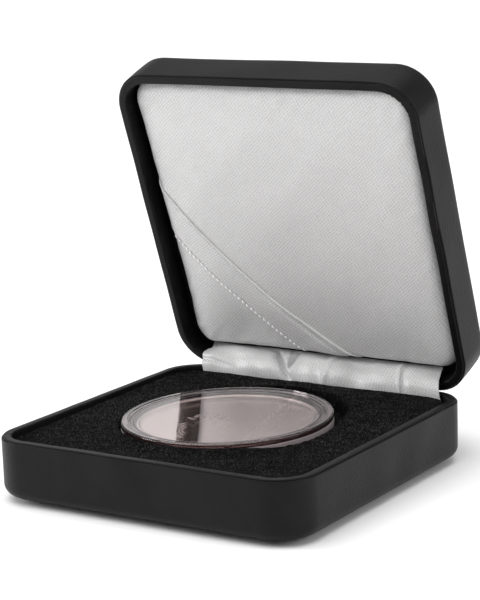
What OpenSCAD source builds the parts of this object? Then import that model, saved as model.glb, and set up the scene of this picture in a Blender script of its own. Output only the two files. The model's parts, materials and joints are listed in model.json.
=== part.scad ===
// Hinged presentation case with a clear two-part capsule that holds one coin.
// Millimetres. +Z is up, X runs along the hinge and the front faces -Y.
// The lid, its pad and the corner band are drawn closed and then turned open about the hinge axis.
// The origin is on the surface the case stands on, under the middle of the open case.

/* [Case] */
// Width and depth of the square case
case_w = 78; // [77:0.5:90]
// Height of the lower half, from its underside to its rim
base_h = 13.2; // [12:0.1:20]
// Height of the lid, from its rim to its top
lid_h = 11.5; // [11.1:0.1:16]
// Radius of the upright corners, seen from above
corner_r = 9; // [7:0.1:12]
// Radius of the rounded edge round the underside and the lid's top
edge_r = 2.6; // [2:0.1:3.5]
// How far the lid stands open at rest
open_angle = 70.5; // [60:0.5:90]
// Gap between the two rims when the lid is shut
rim_gap = 0.3; // [0.2:0.05:0.5]

/* [Walls] */
// Thickness of the rigid moulded walls
shell_t = 1.4; // [1.2:0.1:1.8]
// Thickness of the leatherette covering
wrap_t = 0.4; // [0.3:0.05:0.6]
// Outer rounding of the rim
rim_r = 0.9; // [0.7:0.05:1]
// Depth to which the covering is turned in behind the rim
hem_h = 5; // [3:0.5:6]
// Width of the covering that is turned under the base
underlap = 7; // [5:0.5:8]

/* [Feet] */
// Radius of a stick-on foot
foot_r = 4; // [3:0.1:5]
// Thickness of a stick-on foot
foot_h = 1.2; // [0.8:0.1:1.6]

/* [Hinges] */
// Distance from the middle of the case to each hinge
hinge_x = 22; // [16:0.5:22]
// Length of one hinge barrel
hinge_len = 16; // [14:0.5:16]
// Length of the lid's middle knuckle
lid_knuckle = 5.8; // [5:0.1:6.5]
// Outer radius of the barrel
barrel_r = 1; // [0.9:0.05:1.1]
// Radius of the hinge pin
pin_r = 0.5; // [0.4:0.05:0.6]
// Distance of the hinge axis in front of the back face
axis_inset = 0.5; // [0.4:0.05:0.6]
// Thickness of the steel leaves
leaf_t = 0.6; // [0.5:0.05:0.7]

/* [Insert] */
// Depth of the velour surface below the rim
velour_drop = 0.9; // [0.5:0.1:2]
// Thickness of the velour and the thin foam it is bonded to
velour_t = 1; // [0.6:0.05:1.2]
// Thickness of the stiff card under the velour
card_t = 1.5; // [1:0.1:2]
// Radius of the round recess for the capsule
recess_r = 24.2; // [24:0.1:26]
// Distance of the recess's centre in front of the middle of the case
recess_y = 2.6; // [0:0.1:3]
// Radius of the thumb notch behind the recess
notch_r = 21; // [15:0.5:22]
// Distance from the recess's centre back to the notch's centre
notch_shift = 11.1; // [8:0.1:12]

/* [Capsule and coin] */
// Outer radius of the capsule
capsule_r = 23.5; // [23:0.1:23.6]
// Height of the closed capsule
capsule_h = 5.6; // [5:0.1:6]
// Height at which the capsule stands above the rim of the case
capsule_rise = 1; // [0.4:0.1:1.1]
// Height of the capsule's cover above its parting line
cover_h = 1.3; // [1.2:0.1:1.6]
// Radius of the coin
coin_r = 20.3; // [19:0.05:20.3]
// Thickness of the coin
coin_t = 3; // [2.4:0.1:3]

/* [Lid pad] */
// Depth of the satin pad's face behind the lid's rim
pad_drop = 1.6; // [1.5:0.1:2]
// Thickness of the padded part
pad_t = 6.4; // [4:0.1:6.8]
// Radius of the pad's rolled edge
pad_edge = 2.4; // [2:0.1:3]
// Width of the satin band across the pad's corner
band_w = 9.8; // [8:0.1:12]

/* [Hidden] */
$fn = 96;

half_w = case_w / 2;
rim_w = shell_t + 2 * wrap_t;
inner_w = case_w - 2 * rim_w;
rim_z = foot_h + base_h;
axis_y = half_w - axis_inset;
axis_z = rim_z + rim_gap / 2;
knuckle_gap = 0.3;
hinge_slot = barrel_r + knuckle_gap;
leaf_h = 6.5;
leaf_y = axis_y - barrel_r;
rivet_r = 0.6;
head_r = 1.1;
head_t = 0.25;
rivet_dx = 5;
rivet_dz = 4.4;
floor_z = foot_h + wrap_t + shell_t;
strip_gap = 1.8;
insert_gap = 0.2;
loose = 0.05;
slip = 0.1;
small_edge = 0.3;

// The open lid reaches furthest back at the rounded edge of its top
lid_reach = (edge_r - axis_inset) * -cos(open_angle)
    + (rim_gap / 2 + lid_h - edge_r) * sin(open_angle) + edge_r;
case_shift = (axis_y + lid_reach - half_w) / 2;

velour_z = rim_z - velour_drop;
card_z = velour_z - velour_t - card_t;
capsule_top = rim_z + capsule_rise;
capsule_z = capsule_top - capsule_h;
parting_z = capsule_top - cover_h;
recess_z = capsule_z - slip;

insert_w = inner_w - 2 * insert_gap;
insert_d = inner_w - insert_gap - strip_gap;
insert_r = corner_r - rim_w - insert_gap;
insert_y = (insert_gap - strip_gap) / 2;
velour_hem = 2;

pad_side_gap = 0.6;
pad_front_gap = 0.5;
pad_back_gap = 2.2;
pad_w = inner_w - 2 * pad_side_gap;
pad_d = inner_w - pad_front_gap - pad_back_gap;
pad_y = (pad_front_gap - pad_back_gap) / 2;
pad_r = 5.6;
pad_face = rim_z + rim_gap + pad_drop;
pad_card_t = 1.2;
pad_card_inset = 0.5;

coin_floor = 1.1;
coin_play = 0.15;
coin_rim = 1;
coin_field = 0.25;
cover_skirt = 1.5;
skirt_r = capsule_r - 1.7;
skirt_play = 0.4;
cover_step = 0.15;
cover_rim = 1.3;

foot_places = [[-22, -30], [27, -27], [-27, 27], [31, 30]];

// ---------- placing ----------
module case_frame() {
    translate([0, -case_shift, 0]) children();
}

module opened() {
    case_frame() translate([0, axis_y, axis_z]) rotate([-open_angle, 0, 0])
        translate([0, -axis_y, -axis_z]) children();
}

// The lid is the base's construction turned over: local z = 0 is its top, z = lid_h its rim
module lid_local() {
    translate([0, 0, rim_z + rim_gap + lid_h]) mirror([0, 0, 1]) children();
}

module capsule_place() {
    case_frame() translate([0, -recess_y, 0]) children();
}

// ---------- shared shapes ----------
module round_rect(w, d, r) {
    square([w - 2 * r, d], center = true);
    square([w, d - 2 * r], center = true);
    for (x = [-1, 1], y = [-1, 1])
        translate([x * (w / 2 - r), y * (d / 2 - r)]) circle(r);
}

// Carries a profile round a rounded rectangle; the profile's x = 0 is the corner's centre
module sweep(w, d, r) {
    for (i = [0:3]) {
        along = (i % 2 == 0 ? d : w) - 2 * r;
        out = (i % 2 == 0 ? w : d) / 2 - r;
        rotate([0, 0, 90 * i]) translate([out, 0, 0]) rotate([90, 0, 0])
            linear_extrude(along, center = true) children();
        rotate([0, 0, 90 * i]) translate([out, along / 2, 0])
            rotate_extrude(angle = 90) children();
    }
}

// Upright section from x = 0 to x, with its two outer corners rounded
module section(x, low, high, r_low, r_high) {
    difference() {
        translate([0, low]) square([x, high - low]);
        translate([x - r_low, low]) corner_waste(r_low, -1);
        translate([x - r_high, high]) corner_waste(r_high, 1);
    }
}

// What a rounded corner of radius r removes: side is -1 below and 1 above
module corner_waste(r, side) {
    spare = 0.5;
    difference() {
        translate([0, side < 0 ? -spare : -r]) square(r + spare);
        translate([0, -side * r]) circle(r);
    }
}

// A slab with upright sides and its upper edge rolled over
module rolled_slab(w, d, r, h, edge) {
    sweep(w, d, r) section(r, 0, h, small_edge, edge);
    translate([0, 0, h / 2]) cube([w - 2 * r, d - 2 * r, h], center = true);
}

// ---------- halves of the case ----------
// Rigid tray with its underside at z = 0 of the covering and its rim at z = h
module tray(h) {
    inner = corner_r - rim_w + wrap_t;
    sweep(case_w, case_w, corner_r) difference() {
        section(corner_r - wrap_t, wrap_t, h - wrap_t, edge_r - wrap_t, rim_r - wrap_t);
        translate([-1, wrap_t + shell_t]) square([inner + 1, h]);
    }
    translate([0, 0, wrap_t + shell_t / 2])
        cube([case_w - 2 * corner_r, case_w - 2 * corner_r, shell_t], center = true);
}

// Covering: outside face, over the rim, turned in behind it, and over the flat by the lap
module covering(h, lap) {
    inner = corner_r - rim_w;
    sweep(case_w, case_w, corner_r) difference() {
        section(corner_r, 0, h, edge_r, rim_r);
        translate([-1, wrap_t]) square([inner + 1, h]);
        difference() {
            section(corner_r - wrap_t, wrap_t, h - wrap_t, edge_r - wrap_t, rim_r - wrap_t);
            translate([-1, h - hem_h]) square([inner + wrap_t + 1, h]);
        }
        translate([-1, -1]) square([corner_r - lap + 1, wrap_t + 2]);
    }
}

// Opening for one hinge barrel in the back wall's rim, at a height z
module barrel_slots(z) {
    for (side = [-1, 1])
        translate([side * hinge_x - hinge_len / 2 - knuckle_gap, axis_y - hinge_slot, z - hinge_slot])
            cube([hinge_len + 2 * knuckle_gap, 4, 2 * hinge_slot]);
}

// Pockets for the leaves in the inner face of the rigid wall, and the rivet holes behind them
module leaf_pockets(dir) {
    for (side = [-1, 1]) translate([side * hinge_x, 0, axis_z]) {
        depth = leaf_y + leaf_t + loose;
        low = dir > 0 ? 0 : -leaf_h - loose;
        translate([-hinge_len / 2 - loose, half_w - rim_w - 1, low])
            cube([hinge_len + 2 * loose, depth - half_w + rim_w + 1, leaf_h + loose]);
        for (x = [-1, 1]) translate([x * rivet_dx, depth, dir * rivet_dz])
            rotate([-90, 0, 0]) cylinder(r = rivet_r + loose, h = half_w - wrap_t - depth + 0.01);
    }
}

module base_shell() {
    color("dimgray") case_frame() difference() {
        translate([0, 0, foot_h]) tray(base_h);
        barrel_slots(axis_z);
        leaf_pockets(-1);
    }
}

module base_wrap() {
    color([0.05, 0.05, 0.055]) case_frame() difference() {
        translate([0, 0, foot_h]) covering(base_h, underlap);
        barrel_slots(axis_z);
    }
}

module base_panel() {
    color([0.1, 0.1, 0.1]) case_frame() translate([0, 0, foot_h]) linear_extrude(wrap_t)
        round_rect(case_w - 2 * underlap, case_w - 2 * underlap, corner_r - underlap);
}

module foot(place) {
    color([0.13, 0.13, 0.13]) case_frame() translate([place[0], place[1], 0]) {
        cylinder(r = foot_r - small_edge, h = foot_h);
        translate([0, 0, small_edge]) cylinder(r = foot_r, h = foot_h - small_edge);
    }
}

// ---------- insert ----------
// Outline of the recess with its thumb notch, grown by g
module recess_outline(g) {
    translate([0, -recess_y]) circle(recess_r + g);
    translate([0, notch_shift - recess_y]) circle(notch_r + g);
}

module insert_outline(g) {
    translate([0, insert_y]) round_rect(insert_w + 2 * g, insert_d + 2 * g, insert_r + g);
}

module insert_block() {
    color("gainsboro") case_frame() difference() {
        translate([0, 0, floor_z + loose]) linear_extrude(card_z - floor_z - 2 * loose)
            insert_outline(-velour_t - loose);
        translate([0, 0, recess_z - velour_t - loose]) linear_extrude(base_h)
            recess_outline(velour_t + loose);
    }
}

module insert_card() {
    color("burlywood") case_frame() translate([0, 0, card_z]) linear_extrude(card_t) difference() {
        insert_outline(-velour_t - loose);
        recess_outline(velour_t + loose);
    }
}

module velour_cover() {
    color([0.08, 0.08, 0.085]) case_frame() {
        translate([0, 0, card_z + card_t]) linear_extrude(velour_t) difference() {
            insert_outline(0);
            recess_outline(0);
        }
        translate([0, 0, card_z - velour_hem]) linear_extrude(card_t + velour_hem) difference() {
            insert_outline(0);
            insert_outline(-velour_t);
        }
        translate([0, 0, recess_z]) linear_extrude(card_z + card_t - recess_z) difference() {
            recess_outline(velour_t);
            recess_outline(0);
        }
    }
}

module recess_pad() {
    color([0.08, 0.08, 0.085]) case_frame() translate([0, 0, recess_z - velour_t])
        linear_extrude(velour_t) recess_outline(velour_t);
}

// ---------- hinges ----------
module barrel_piece(from, to, bore) {
    translate([from, axis_y, axis_z]) rotate([0, 90, 0]) difference() {
        cylinder(r = barrel_r, h = to - from);
        translate([0, 0, -1]) cylinder(r = bore, h = to - from + 2);
    }
}

// Plate of one leaf, below the axis for dir = -1 and above it for dir = 1
module leaf_plate(dir) {
    difference() {
        translate([-hinge_len / 2, leaf_y, axis_z + (dir > 0 ? 0 : -leaf_h)])
            cube([hinge_len, leaf_t, leaf_h]);
        for (x = [-1, 1]) translate([x * rivet_dx, 0, axis_z + dir * rivet_dz])
            rotate([-90, 0, 0]) cylinder(r = rivet_r + loose, h = 2 * half_w);
    }
}

module bore_hole(bore) {
    translate([-hinge_len, axis_y, axis_z]) rotate([0, 90, 0]) cylinder(r = bore, h = 2 * hinge_len);
}

module base_leaf(side) {
    reach = lid_knuckle / 2 + knuckle_gap;
    color("silver") case_frame() translate([side * hinge_x, 0, 0]) difference() {
        union() {
            barrel_piece(-hinge_len / 2, -reach, pin_r);
            barrel_piece(reach, hinge_len / 2, pin_r);
            difference() {
                leaf_plate(-1);
                translate([-reach, 0, axis_z - hinge_slot]) cube([2 * reach, case_w, 2 * hinge_slot]);
            }
        }
        bore_hole(pin_r);
    }
}

module lid_leaf(side) {
    color("silver") opened() translate([side * hinge_x, 0, 0]) difference() {
        union() {
            barrel_piece(-lid_knuckle / 2, lid_knuckle / 2, pin_r + loose);
            difference() {
                leaf_plate(1);
                for (x = [-1, 1])
                    translate([x > 0 ? lid_knuckle / 2 : -hinge_len, 0, axis_z - 1])
                        cube([hinge_len - lid_knuckle / 2, case_w, 1 + hinge_slot]);
            }
        }
        bore_hole(pin_r + loose);
    }
}

module hinge_pin(side) {
    color("lightgray") case_frame()
        translate([side * hinge_x - hinge_len / 2, axis_y, axis_z])
            rotate([0, 90, 0]) cylinder(r = pin_r, h = hinge_len);
}

module rivets(dir) {
    for (side = [-1, 1], x = [-1, 1])
        translate([side * hinge_x + x * rivet_dx, leaf_y, axis_z + dir * rivet_dz])
            rotate([-90, 0, 0]) {
                cylinder(r = rivet_r, h = half_w - wrap_t - leaf_y - loose);
                translate([0, 0, -head_t]) cylinder(r = head_r, h = head_t);
            }
}

module base_rivets() {
    color("gray") case_frame() rivets(-1);
}

module lid_rivets() {
    color("gray") opened() rivets(1);
}

// Bowed flat spring between the back walls that snaps the lid open and shut
module snap_spring() {
    bow_r = 4.3;
    spring_t = 0.3;
    spring_w = 12;
    leg = 3.5;
    past_crown = 0.8;
    drop = 0.9;
    outer_r = bow_r + spring_t / 2;
    bow_y = axis_y + 2.3;
    color("silver") case_frame() translate([-spring_w / 2, bow_y, rim_z - drop])
        rotate([90, 0, 90]) linear_extrude(spring_w) {
            intersection() {
                difference() {
                    circle(outer_r);
                    circle(bow_r - spring_t / 2);
                }
                translate([-outer_r, 0]) square([outer_r + past_crown, outer_r]);
            }
            translate([-outer_r, -leg]) square([spring_t, leg]);
        }
}

// Satin strip that bridges the hinge gap, drawn as one bowed sheet.
// Its section is given from the back wall's inner face and from the rim.
strip_w = inner_w - 6.8;
strip_t = 0.4;
strip_path = [[-1.5, -2.6], [-1.6, -0.5], [-1.3, 1.1], [-0.5, 2.5], [0.9, 3.6], [2.8, 4.1], [5.4, 4.8]];
function unit(v) = v / norm(v);
function strip_side(i) = let(
    a = strip_path[max(i - 1, 0)],
    b = strip_path[min(i + 1, len(strip_path) - 1)],
    t = unit(b - a)) [t[1], -t[0]] * strip_t;

module hinge_strip() {
    back = [for (i = [len(strip_path) - 1:-1:0]) strip_path[i] + strip_side(i)];
    color([0.85, 0.85, 0.87]) case_frame() translate([-strip_w / 2, half_w - rim_w, rim_z])
        rotate([90, 0, 90]) linear_extrude(strip_w) polygon(concat(strip_path, back));
}

// ---------- lid ----------
module lid_shell() {
    color("dimgray") opened() difference() {
        lid_local() tray(lid_h);
        barrel_slots(axis_z);
        leaf_pockets(1);
    }
}

module lid_wrap() {
    color([0.05, 0.05, 0.055]) opened() difference() {
        lid_local() {
            covering(lid_h, corner_r);
            translate([0, 0, wrap_t / 2])
                cube([case_w - 2 * corner_r, case_w - 2 * corner_r, wrap_t], center = true);
        }
        barrel_slots(axis_z);
    }
}

module pad_card() {
    color("burlywood") opened() translate([0, pad_y, pad_face + pad_t + loose]) linear_extrude(pad_card_t)
        round_rect(pad_w - 2 * pad_card_inset, pad_d - 2 * pad_card_inset, pad_r - pad_card_inset);
}

// Rolled slab of the pad, drawn in from its outline by t on every side but the back
module pad_slab(t) {
    opened() translate([0, pad_y, pad_face + pad_t]) mirror([0, 0, 1])
        rolled_slab(pad_w - 2 * t, pad_d - 2 * t, pad_r - t, pad_t - t, pad_edge - t);
}

module pad_foam() {
    color("whitesmoke") pad_slab(wrap_t);
}

module pad_satin() {
    color([0.83, 0.83, 0.85]) difference() {
        pad_slab(0);
        pad_slab(wrap_t);
        opened() translate([0, pad_y, pad_face + pad_t]) cube([case_w, case_w, 0.02], center = true);
    }
}

// Diagonal band for a certificate, from the pad's left edge to its hinge edge
module corner_band() {
    band_t = 0.4;
    lift = 0.02;
    inset = 1.2;
    from = [-pad_w / 2 + inset, -8];
    reach = pad_y + pad_d / 2 - inset - from[1];
    drop = band_w * sqrt(2);
    color([0.88, 0.88, 0.9]) opened() translate([0, 0, pad_face - band_t - lift])
        linear_extrude(band_t) polygon([
            from,
            from + [reach, reach],
            from + [reach - drop, reach],
            from + [0, drop]
        ]);
}

// ---------- capsule and coin ----------
module capsule_base() {
    wall_h = capsule_h - cover_h - slip / 2;
    color([0.9, 0.92, 0.95, 0.35]) capsule_place() translate([0, 0, capsule_z])
        difference() {
            union() {
                translate([0, 0, small_edge]) cylinder(r = capsule_r, h = wall_h - small_edge);
                cylinder(r = capsule_r - small_edge, h = wall_h);
            }
            translate([0, 0, coin_floor]) cylinder(r = coin_r + coin_play, h = capsule_h);
            translate([0, 0, wall_h - cover_skirt - slip]) cylinder(r = skirt_r + slip, h = capsule_h);
        }
}

module capsule_cover() {
    plate_z = 0.3;
    color([0.9, 0.92, 0.95, 0.35]) capsule_place() translate([0, 0, parting_z])
        difference() {
            union() {
                cylinder(r = capsule_r, h = cover_h - small_edge);
                cylinder(r = capsule_r - small_edge, h = cover_h);
                translate([0, 0, -cover_skirt]) cylinder(r = skirt_r, h = cover_skirt + plate_z);
            }
            translate([0, 0, plate_z - coin_t]) cylinder(r = coin_r + skirt_play, h = coin_t);
            translate([0, 0, cover_h - cover_step]) cylinder(r = capsule_r - cover_rim, h = 1);
        }
}

module coin() {
    coin_z = capsule_z + coin_floor + slip;
    color([0.8, 0.8, 0.82]) capsule_place() translate([0, 0, coin_z]) difference() {
        cylinder(r = coin_r, h = coin_t);
        translate([0, 0, coin_t - coin_field]) cylinder(r = coin_r - coin_rim, h = 1);
        translate([0, 0, -1]) cylinder(r = coin_r - coin_rim, h = 1 + coin_field);
    }
}

base_shell();
base_wrap();
base_panel();
foot(foot_places[0]);  // foot_front_left
foot(foot_places[1]);  // foot_front_right
foot(foot_places[2]);  // foot_back_left
foot(foot_places[3]);  // foot_back_right
insert_block();
insert_card();
velour_cover();
recess_pad();
base_leaf(-1);  // hinge_left_base_leaf
base_leaf(1);  // hinge_right_base_leaf
hinge_pin(-1);  // hinge_left_pin
hinge_pin(1);  // hinge_right_pin
lid_leaf(-1);  // hinge_left_lid_leaf
lid_leaf(1);  // hinge_right_lid_leaf
base_rivets();
lid_rivets();
snap_spring();
hinge_strip();
lid_shell();
lid_wrap();
pad_card();
pad_foam();
pad_satin();
corner_band();
capsule_base();
capsule_cover();
coin();
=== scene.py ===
import json
import math

import bpy
import numpy as np
from mathutils import Matrix, Vector


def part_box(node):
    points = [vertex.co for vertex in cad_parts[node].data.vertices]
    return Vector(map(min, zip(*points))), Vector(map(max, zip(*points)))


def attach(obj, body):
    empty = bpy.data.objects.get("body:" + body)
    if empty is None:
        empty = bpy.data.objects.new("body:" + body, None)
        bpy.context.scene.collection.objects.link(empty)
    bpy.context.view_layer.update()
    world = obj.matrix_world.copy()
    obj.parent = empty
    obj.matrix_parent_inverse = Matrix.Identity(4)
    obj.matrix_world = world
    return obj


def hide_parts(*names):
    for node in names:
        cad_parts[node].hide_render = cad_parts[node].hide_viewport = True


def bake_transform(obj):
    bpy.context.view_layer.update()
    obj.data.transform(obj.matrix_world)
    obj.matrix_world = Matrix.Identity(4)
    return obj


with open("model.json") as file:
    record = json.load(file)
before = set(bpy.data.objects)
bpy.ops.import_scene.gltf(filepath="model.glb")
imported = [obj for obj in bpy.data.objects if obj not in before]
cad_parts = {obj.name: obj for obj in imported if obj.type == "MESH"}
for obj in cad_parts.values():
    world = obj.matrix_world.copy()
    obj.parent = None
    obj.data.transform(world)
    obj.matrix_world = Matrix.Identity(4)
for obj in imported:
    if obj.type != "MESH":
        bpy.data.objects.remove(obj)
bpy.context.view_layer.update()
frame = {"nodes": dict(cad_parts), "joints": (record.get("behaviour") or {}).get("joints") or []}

MM = 0.001

# ---------- sizes of the case, in metres ----------
# Radii: upright corners, edge round the underside and the lid's top, and the rim's outer and inner edge
CORNER_R = 9.0 * MM
EDGE_R = 2.6 * MM
RIM_R = 0.9 * MM
RIM_IN_R = 0.35 * MM
# Covering and rigid wall, and the width of the rim they make together
WRAP_T = 0.4 * MM
SHELL_T = 1.4 * MM
RIM_W = SHELL_T + 2 * WRAP_T
# How far the covering is turned in behind the rim, and under the base
HEM_H = 5.0 * MM
UNDERLAP = 7.0 * MM
# The two small rolls along the rim's outer edge, and the crease between them
BEAD_R = 0.3 * MM
BEAD_IN = 0.62 * MM
CREASE = (0.47 * MM, 0.55 * MM)
# Clearance round the hinge axis in the covering's back rim
HINGE_SLOT = 1.3 * MM

base_low, base_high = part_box("base_wrap")
CASE_W = base_high.x - base_low.x
CASE_Y = (base_low.y + base_high.y) / 2
UNDER_Z = base_low.z
RIM_Z = base_high.z

lid_joint = next(j for j in frame["joints"] if j["name"] == "lid_hinge")
HINGE_Y, HINGE_Z = lid_joint["pos_m"][1:]
OPEN = -math.radians(lid_joint["range_deg"][0])


# ---------- the lid is shaped shut and then turned open ----------
def opened(points):
    p = np.asarray(points, float)
    y, z = p[..., 1] - HINGE_Y, p[..., 2] - HINGE_Z
    c, s = math.cos(OPEN), math.sin(OPEN)
    return np.stack([p[..., 0], HINGE_Y + c * y + s * z, HINGE_Z - s * y + c * z], -1)


def shut(points):
    p = np.asarray(points, float)
    y, z = p[..., 1] - HINGE_Y, p[..., 2] - HINGE_Z
    c, s = math.cos(OPEN), math.sin(OPEN)
    return np.stack([p[..., 0], HINGE_Y + c * y - s * z, HINGE_Z + s * y + c * z], -1)


def shut_box(node):
    p = shut([v.co for v in frame["nodes"][node].data.vertices])
    return Vector(p.min(0)), Vector(p.max(0))


# ---------- mesh helpers ----------
def add_piece(name, points, faces, material, body=None):
    mesh = bpy.data.meshes.new(name)
    mesh.from_pydata([tuple(p) for p in np.reshape(points, (-1, 3))], [], faces)
    mesh.materials.append(material)
    mesh.update()
    mesh.shade_smooth()
    obj = bpy.data.objects.new(name, mesh)
    bpy.context.scene.collection.objects.link(obj)
    if body:
        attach(obj, body)
    return obj


def stack(rings, loop=False, cap_first=False, cap_last=False, first=0):
    """Faces that join rings of equal length; each ring is closed. loop joins the last ring to the first."""
    n, rows = len(rings[0]), len(rings)
    faces = []
    for r in range(rows if loop else rows - 1):
        a, b = first + r * n, first + (r + 1) % rows * n
        faces += [(a + i, a + (i + 1) % n, b + (i + 1) % n, b + i) for i in range(n)]
    if cap_first:
        faces.append(tuple(first + i for i in reversed(range(n))))
    if cap_last:
        faces.append(tuple(first + (rows - 1) * n + i for i in range(n)))
    return faces


def sheet_mesh(grid, thickness):
    """A thin closed sheet: the grid is its upper face, and the lower one lies a thickness behind it."""
    rows, cols = grid.shape[:2]
    along, across = np.gradient(grid, axis=0), np.gradient(grid, axis=1)
    normal = np.cross(across, along)
    normal /= np.linalg.norm(normal, axis=2, keepdims=True) + 1e-12
    points = np.concatenate([grid.reshape(-1, 3), (grid - normal * thickness).reshape(-1, 3)])
    n = rows * cols
    at = lambda r, c: r * cols + c
    faces = []
    for r in range(rows - 1):
        for c in range(cols - 1):
            quad = (at(r, c), at(r, c + 1), at(r + 1, c + 1), at(r + 1, c))
            faces.append(quad)
            faces.append(tuple(n + q for q in reversed(quad)))
    border = [at(0, c) for c in range(cols)] + [at(r, cols - 1) for r in range(1, rows)]
    border += [at(rows - 1, c) for c in reversed(range(cols - 1))]
    border += [at(r, 0) for r in reversed(range(1, rows - 1))]
    for a, b in zip(border, border[1:] + border[:1]):
        faces.append((b, a, n + a, n + b))
    return points, faces


def set_uv(obj, uv):
    layer = obj.data.uv_layers.new(name="cloth")
    index = np.array([loop.vertex_index for loop in obj.data.loops])
    layer.data.foreach_set("uv", np.asarray(uv, float)[index].astype(np.float32).ravel())


def arc(cx, cz, r, start, end, n=6):
    angles = np.radians(np.linspace(start, end, n))
    return [(cx + r * math.cos(a), cz + r * math.sin(a)) for a in angles]


def rounded_path(width, depth, radius, step, corner_points):
    """Counterclockwise round a rounded rectangle: points on its inner rectangle, and outward normals."""
    inner, normals = [], []
    for i in range(4):
        half, run = (width, depth) if i % 2 == 0 else (depth, width)
        out, run = half / 2 - radius, run / 2 - radius
        turn = np.array([[math.cos(i * math.pi / 2), -math.sin(i * math.pi / 2)],
                         [math.sin(i * math.pi / 2), math.cos(i * math.pi / 2)]])
        count = max(2, int(round(2 * run / step)))
        for t in np.linspace(-run, run, count):
            inner.append(turn @ (out, t))
            normals.append(turn @ (1, 0))
        for a in np.linspace(0, math.pi / 2, corner_points + 2)[1:-1]:
            inner.append(turn @ (out, run))
            normals.append(turn @ (math.cos(a), math.sin(a)))
    return np.array(inner), np.array(normals)


def random_waves(points, wavelength, seed, count=16):
    """Smooth seeded noise of unit size, with features about a wavelength across."""
    rng = np.random.default_rng(seed)
    p = np.asarray(points, float)
    total = np.zeros(p.shape[:-1])
    for _ in range(count):
        direction = rng.normal(size=p.shape[-1])
        direction *= 2 * math.pi / wavelength * rng.uniform(0.6, 1.5) / np.linalg.norm(direction)
        total += np.cos(p @ direction + rng.uniform(0, 2 * math.pi))
    return total * math.sqrt(2 / count)


def smooth_step(x, low, high):
    t = np.clip((np.asarray(x, float) - low) / (high - low), 0, 1)
    return t * t * (3 - 2 * t)


# ---------- materials ----------
def principled(name, color, roughness, **sockets):
    material = bpy.data.materials.new(name)
    material.use_nodes = True
    shader = material.node_tree.nodes["Principled BSDF"]
    shader.inputs["Base Color"].default_value = (*color, 1)
    shader.inputs["Roughness"].default_value = roughness
    for socket, value in sockets.items():
        shader.inputs[socket.replace("_", " ")].default_value = value
    return material, material.node_tree, shader


def coordinates(tree, source="Object", scale=1000.0, rotation=0.0):
    """Texture coordinates in millimetres."""
    position = tree.nodes.new("ShaderNodeTexCoord")
    mapping = tree.nodes.new("ShaderNodeMapping")
    mapping.inputs["Scale"].default_value = (scale, scale, scale)
    mapping.inputs["Rotation"].default_value = (0, 0, rotation)
    tree.links.new(position.outputs[source], mapping.inputs["Vector"])
    return mapping.outputs["Vector"]


def texture(tree, kind, vector, **inputs):
    node = tree.nodes.new(kind)
    tree.links.new(vector, node.inputs["Vector"])
    for socket, value in inputs.items():
        node.inputs[socket.replace("_", " ")].default_value = value
    return node


def ramp(tree, value, low, high, color_low, color_high):
    node = tree.nodes.new("ShaderNodeValToRGB")
    node.color_ramp.elements[0].position = low
    node.color_ramp.elements[1].position = high
    node.color_ramp.elements[0].color = (*color_low, 1)
    node.color_ramp.elements[1].color = (*color_high, 1)
    tree.links.new(value, node.inputs["Fac"])
    return node.outputs["Color"]


def remap(tree, value, low, high):
    node = tree.nodes.new("ShaderNodeMapRange")
    node.inputs["To Min"].default_value = low
    node.inputs["To Max"].default_value = high
    tree.links.new(value, node.inputs["Value"])
    return node.outputs["Result"]


def mixed(tree, blend, a, b, factor):
    node = tree.nodes.new("ShaderNodeMix")
    node.data_type = "RGBA"
    node.blend_type = blend
    node.inputs["Factor"].default_value = factor
    tree.links.new(a, node.inputs["A"])
    tree.links.new(b, node.inputs["B"])
    return node.outputs["Result"]


def bump(tree, shader, height, distance, strength=1.0, before=None):
    node = tree.nodes.new("ShaderNodeBump")
    node.inputs["Distance"].default_value = distance
    node.inputs["Strength"].default_value = strength
    tree.links.new(height, node.inputs["Height"])
    if before:
        tree.links.new(before.outputs["Normal"], node.inputs["Normal"])
    tree.links.new(node.outputs["Normal"], shader.inputs["Normal"])
    return node


def leatherette():
    material, tree, shader = principled("leatherette", (0.005, 0.005, 0.005), 0.42,
                                        Specular_IOR_Level=0.15)
    mm = coordinates(tree)
    pebble = texture(tree, "ShaderNodeTexVoronoi", mm, Scale=1.9)
    pebble.feature = "SMOOTH_F1"
    fine = texture(tree, "ShaderNodeTexNoise", mm, Scale=3.5, Detail=3.0)
    broad = texture(tree, "ShaderNodeTexNoise", mm, Scale=0.12, Detail=3.0)
    tree.links.new(ramp(tree, broad.outputs["Fac"], 0.3, 0.75, (0.003, 0.003, 0.003), (0.007, 0.007, 0.007)),
                   shader.inputs["Base Color"])
    tree.links.new(remap(tree, broad.outputs["Fac"], 0.34, 0.52), shader.inputs["Roughness"])
    grain = bump(tree, shader, pebble.outputs["Distance"], 0.06 * MM, 0.6)
    bump(tree, shader, fine.outputs["Fac"], 0.04 * MM, 0.6, grain)
    return material


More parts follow.
